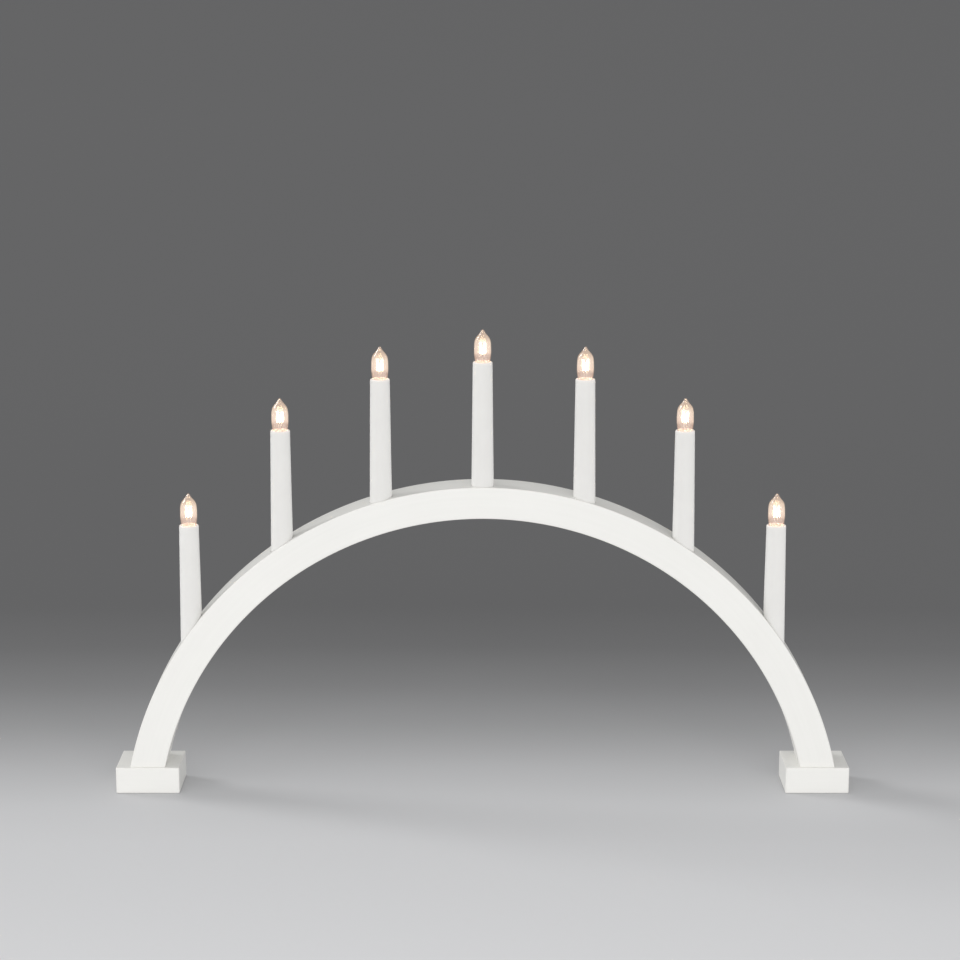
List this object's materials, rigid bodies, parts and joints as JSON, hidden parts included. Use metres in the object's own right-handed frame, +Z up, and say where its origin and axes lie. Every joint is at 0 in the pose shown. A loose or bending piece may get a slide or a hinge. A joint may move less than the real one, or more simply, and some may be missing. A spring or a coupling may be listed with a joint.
{
  "type": "candle arch",
  "caption": "White wooden bow on block feet with upright electric candles along it; each screw-cap lamp turns and rises out of its socket.",
  "frame": {"origin": "on the floor, midway between the two feet, at half their depth", "axes": "+X along the arch to the viewer's right, +Y away from the viewer, +Z up"},
  "size_m": [0.5782, 0.044, 0.3679],
  "materials": {
    "painted_wood": "satin white paint",
    "painted_strip": "satin white paint",
    "felt": "pressed felt",
    "sleeve_plastic": "satin",
    "socket_plastic": "matte",
    "brass": "rolled",
    "solder": "soldered",
    "lamp_glass": "clear",
    "filament": "glowing",
    "steel": "zinc plated",
    "wire_insulation": "satin",
    "bushing_plastic": "matte"
  },
  "bodies": {
    "arch": {"arch_body": "painted_wood", "groove_cover": "painted_strip", "cover_brads": "steel", "left_foot": "painted_wood", "right_foot": "painted_wood", "foot_screws": "steel", "felt_pads": "felt", "cord_bushing": "bushing_plastic", "series_wires": "wire_insulation", "supply_wires": "wire_insulation", "candle_sleeve_1": "sleeve_plastic", "candle_sleeve_2": "sleeve_plastic", "candle_sleeve_3": "sleeve_plastic", "candle_sleeve_4": "sleeve_plastic", "candle_sleeve_5": "sleeve_plastic", "candle_sleeve_6": "sleeve_plastic", "candle_sleeve_7": "sleeve_plastic", "socket_body_1": "socket_plastic", "socket_body_2": "socket_plastic", "socket_body_3": "socket_plastic", "socket_body_4": "socket_plastic", "socket_body_5": "socket_plastic", "socket_body_6": "socket_plastic", "socket_body_7": "socket_plastic", "socket_contacts_1": "brass", "socket_contacts_2": "brass", "socket_contacts_3": "brass", "socket_contacts_4": "brass", "socket_contacts_5": "brass", "socket_contacts_6": "brass", "socket_contacts_7": "brass"},
    "lamp_1_tip": {"lamp_tip_1": "solder"},
    "lamp_1": {"lamp_cap_1": "brass", "lamp_glass_1": "lamp_glass", "lamp_filament_1": "filament"},
    "lamp_2_tip": {"lamp_tip_2": "solder"},
    "lamp_2": {"lamp_cap_2": "brass", "lamp_glass_2": "lamp_glass", "lamp_filament_2": "filament"},
    "lamp_3_tip": {"lamp_tip_3": "solder"},
    "lamp_3": {"lamp_cap_3": "brass", "lamp_glass_3": "lamp_glass", "lamp_filament_3": "filament"},
    "lamp_4_tip": {"lamp_tip_4": "solder"},
    "lamp_4": {"lamp_cap_4": "brass", "lamp_glass_4": "lamp_glass", "lamp_filament_4": "filament"},
    "lamp_5_tip": {"lamp_tip_5": "solder"},
    "lamp_5": {"lamp_cap_5": "brass", "lamp_glass_5": "lamp_glass", "lamp_filament_5": "filament"},
    "lamp_6_tip": {"lamp_tip_6": "solder"},
    "lamp_6": {"lamp_cap_6": "brass", "lamp_glass_6": "lamp_glass", "lamp_filament_6": "filament"},
    "lamp_7_tip": {"lamp_tip_7": "solder"},
    "lamp_7": {"lamp_cap_7": "brass", "lamp_glass_7": "lamp_glass", "lamp_filament_7": "filament"}
  },
  "joints": [
    {"name": "lamp_1_lift", "type": "slide", "parent": "arch", "child": "lamp_1_tip", "axis": [0, 0, 1], "range_m": [0, 0.00726]},
    {"name": "lamp_1_turn", "type": "hinge", "parent": "lamp_1_tip", "child": "lamp_1", "pos_m": [-0.228, -0.0098, 0.21496], "axis": [0, 0, 1], "range_deg": [0, 1440]},
    {"name": "lamp_2_lift", "type": "slide", "parent": "arch", "child": "lamp_2_tip", "axis": [0, 0, 1], "range_m": [0, 0.00726]},
    {"name": "lamp_2_turn", "type": "hinge", "parent": "lamp_2_tip", "child": "lamp_2", "pos_m": [-0.15592, -0.0098, 0.28984], "axis": [0, 0, 1], "range_deg": [0, 1440]},
    {"name": "lamp_3_lift", "type": "slide", "parent": "arch", "child": "lamp_3_tip", "axis": [0, 0, 1], "range_m": [0, 0.00726]},
    {"name": "lamp_3_turn", "type": "hinge", "parent": "lamp_3_tip", "child": "lamp_3", "pos_m": [-0.07876, -0.0098, 0.32992], "axis": [0, 0, 1], "range_deg": [0, 1440]},
    {"name": "lamp_4_lift", "type": "slide", "parent": "arch", "child": "lamp_4_tip", "axis": [0, 0, 1], "range_m": [0, 0.00726]},
    {"name": "lamp_4_turn", "type": "hinge", "parent": "lamp_4_tip", "child": "lamp_4", "pos_m": [0, -0.0098, 0.34316], "axis": [0, 0, 1], "range_deg": [0, 1440]},
    {"name": "lamp_5_lift", "type": "slide", "parent": "arch", "child": "lamp_5_tip", "axis": [0, 0, 1], "range_m": [0, 0.00726]},
    {"name": "lamp_5_turn", "type": "hinge", "parent": "lamp_5_tip", "child": "lamp_5", "pos_m": [0.07876, -0.0098, 0.32992], "axis": [0, 0, 1], "range_deg": [0, 1440]},
    {"name": "lamp_6_lift", "type": "slide", "parent": "arch", "child": "lamp_6_tip", "axis": [0, 0, 1], "range_m": [0, 0.00726]},
    {"name": "lamp_6_turn", "type": "hinge", "parent": "lamp_6_tip", "child": "lamp_6", "pos_m": [0.15592, -0.0098, 0.28984], "axis": [0, 0, 1], "range_deg": [0, 1440]},
    {"name": "lamp_7_lift", "type": "slide", "parent": "arch", "child": "lamp_7_tip", "axis": [0, 0, 1], "range_m": [0, 0.00726]},
    {"name": "lamp_7_turn", "type": "hinge", "parent": "lamp_7_tip", "child": "lamp_7", "pos_m": [0.228, -0.0098, 0.21496], "axis": [0, 0, 1], "range_deg": [0, 1440]}
  ],
  "couplings": [
    {"joint": "lamp_1_lift", "follows": "lamp_1_turn", "m_per_rad": 0.00028871},
    {"joint": "lamp_2_lift", "follows": "lamp_2_turn", "m_per_rad": 0.00028871},
    {"joint": "lamp_3_lift", "follows": "lamp_3_turn", "m_per_rad": 0.00028871},
    {"joint": "lamp_4_lift", "follows": "lamp_4_turn", "m_per_rad": 0.00028871},
    {"joint": "lamp_5_lift", "follows": "lamp_5_turn", "m_per_rad": 0.00028871},
    {"joint": "lamp_6_lift", "follows": "lamp_6_turn", "m_per_rad": 0.00028871},
    {"joint": "lamp_7_lift", "follows": "lamp_7_turn", "m_per_rad": 0.00028871}
  ]
}
